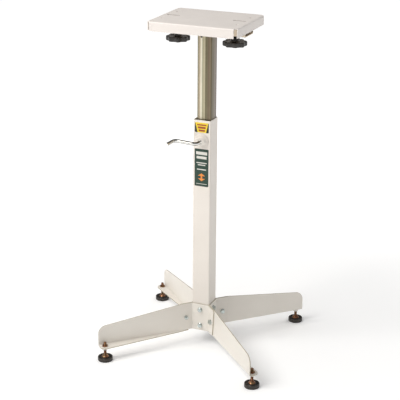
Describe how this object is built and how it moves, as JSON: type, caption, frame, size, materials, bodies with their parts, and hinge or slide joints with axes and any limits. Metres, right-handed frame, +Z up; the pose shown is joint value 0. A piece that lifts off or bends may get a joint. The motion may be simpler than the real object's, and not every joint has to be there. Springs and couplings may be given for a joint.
{
  "type": "benchtop machine pedestal stand",
  "caption": "Height-adjustable steel pedestal stand for a benchtop machine: folded top pan on a telescoping square column, crank lock, bent-sheet legs and levelling feet.",
  "frame": {"origin": "on the floor, on the stand's vertical axis, with the levelling feet at mid setting", "axes": "+Z up along the column; -Y is the front, with the locking handle and labels; +X is the right of someone facing the front"},
  "size_m": [0.604, 0.604, 1.156],
  "materials": {
    "tube_paint": "satin off-white powder coat",
    "leg_paint": "satin off-white powder coat",
    "pan_paint": "satin off-white powder coat, slightly warm",
    "column_steel": "bare drawn steel with lengthwise streaks",
    "bare_steel": "bare sheet steel, oiled",
    "zinc_plate": "bright zinc plate",
    "yellow_zinc": "yellow chromate zinc plate",
    "black_steel": "black oxide",
    "chrome": "polished plating",
    "black_plastic": "moulded phenolic, fine grain",
    "pad_plastic": "moulded nylon, fine grain",
    "label_film": "printed vinyl film with plain shapes"
  },
  "bodies": {
    "base": {"outer_tube": "tube_paint", "leg_front_left": "leg_paint", "leg_front_right": "leg_paint", "leg_back_right": "leg_paint", "leg_back_left": "leg_paint", "tube_bolts": "zinc_plate", "tube_weld_nuts": "zinc_plate", "leg_bolts": "zinc_plate", "leg_bolt_nuts": "zinc_plate", "foot_weld_nuts": "leg_paint", "foot_lock_nuts": "yellow_zinc", "boss_plate": "tube_paint", "lock_boss": "tube_paint", "label_upper": "label_film", "label_lower": "label_film"},
    "lock_handle": {"lock_screw": "chrome"},
    "head": {"inner_column": "column_steel", "head_channel": "bare_steel", "top_pan": "pan_paint", "clamp_weld_nuts": "bare_steel"},
    "washer_left": {"clamp_washer_left": "black_steel"},
    "star_knob_left": {"knob_left": "black_plastic", "knob_stud_left": "black_steel"},
    "washer_right": {"clamp_washer_right": "black_steel"},
    "star_knob_right": {"knob_right": "black_plastic", "knob_stud_right": "black_steel"},
    "pad_front_left": {"foot_pad_front_left": "pad_plastic"},
    "stud_front_left": {"foot_stud_front_left": "yellow_zinc"},
    "pad_front_right": {"foot_pad_front_right": "pad_plastic"},
    "stud_front_right": {"foot_stud_front_right": "yellow_zinc"},
    "pad_back_right": {"foot_pad_back_right": "pad_plastic"},
    "stud_back_right": {"foot_stud_back_right": "yellow_zinc"},
    "pad_back_left": {"foot_pad_back_left": "pad_plastic"},
    "stud_back_left": {"foot_stud_back_left": "yellow_zinc"}
  },
  "joints": [
    {"name": "column_slide", "type": "slide", "parent": "base", "child": "head", "axis": [0, 0, 1], "range_m": [-0.24, 0.12]},
    {"name": "lock_turn", "type": "hinge", "parent": "base", "child": "lock_handle", "pos_m": [0, -0.045, 0.75], "axis": [0, -1, 0], "range_deg": [-15, 345]},
    {"name": "clamp_travel_left", "type": "slide", "parent": "head", "child": "washer_left", "axis": [0, 0, 1], "range_m": [-0.01, 0.0115]},
    {"name": "knob_turn_left", "type": "hinge", "parent": "washer_left", "child": "star_knob_left", "pos_m": [-0.1, 0, 1.082], "axis": [0, 0, 1], "range_deg": [-2420, 2780]},
    {"name": "clamp_travel_right", "type": "slide", "parent": "head", "child": "washer_right", "axis": [0, 0, 1], "range_m": [-0.01, 0.0115]},
    {"name": "knob_turn_right", "type": "hinge", "parent": "washer_right", "child": "star_knob_right", "pos_m": [0.1, 0, 1.082], "axis": [0, 0, 1], "range_deg": [-2420, 2780]},
    {"name": "foot_lift_front_left", "type": "slide", "parent": "base", "child": "pad_front_left", "axis": [0, 0, 1], "range_m": [-0.01, 0.015]},
    {"name": "foot_turn_front_left", "type": "hinge", "parent": "pad_front_left", "child": "stud_front_left", "pos_m": [-0.25173, -0.27648, 0.03], "axis": [0, 0, 1], "range_deg": [-2420, 3620]},
    {"name": "foot_lift_front_right", "type": "slide", "parent": "base", "child": "pad_front_right", "axis": [0, 0, 1], "range_m": [-0.01, 0.015]},
    {"name": "foot_turn_front_right", "type": "hinge", "parent": "pad_front_right", "child": "stud_front_right", "pos_m": [0.27648, -0.25173, 0.03], "axis": [0, 0, 1], "range_deg": [-2420, 3620]},
    {"name": "foot_lift_back_right", "type": "slide", "parent": "base", "child": "pad_back_right", "axis": [0, 0, 1], "range_m": [-0.01, 0.015]},
    {"name": "foot_turn_back_right", "type": "hinge", "parent": "pad_back_right", "child": "stud_back_right", "pos_m": [0.25173, 0.27648, 0.03], "axis": [0, 0, 1], "range_deg": [-2420, 3620]},
    {"name": "foot_lift_back_left", "type": "slide", "parent": "base", "child": "pad_back_left", "axis": [0, 0, 1], "range_m": [-0.01, 0.015]},
    {"name": "foot_turn_back_left", "type": "hinge", "parent": "pad_back_left", "child": "stud_back_left", "pos_m": [-0.27648, 0.25173, 0.03], "axis": [0, 0, 1], "range_deg": [-2420, 3620]}
  ],
  "couplings": [
    {"joint": "knob_turn_left", "follows": "clamp_travel_left", "rad_per_m": 4188.8},
    {"joint": "knob_turn_right", "follows": "clamp_travel_right", "rad_per_m": 4188.8},
    {"joint": "foot_turn_front_left", "follows": "foot_lift_front_left", "rad_per_m": 4188.8},
    {"joint": "foot_turn_front_right", "follows": "foot_lift_front_right", "rad_per_m": 4188.8},
    {"joint": "foot_turn_back_right", "follows": "foot_lift_back_right", "rad_per_m": 4188.8},
    {"joint": "foot_turn_back_left", "follows": "foot_lift_back_left", "rad_per_m": 4188.8}
  ]
}
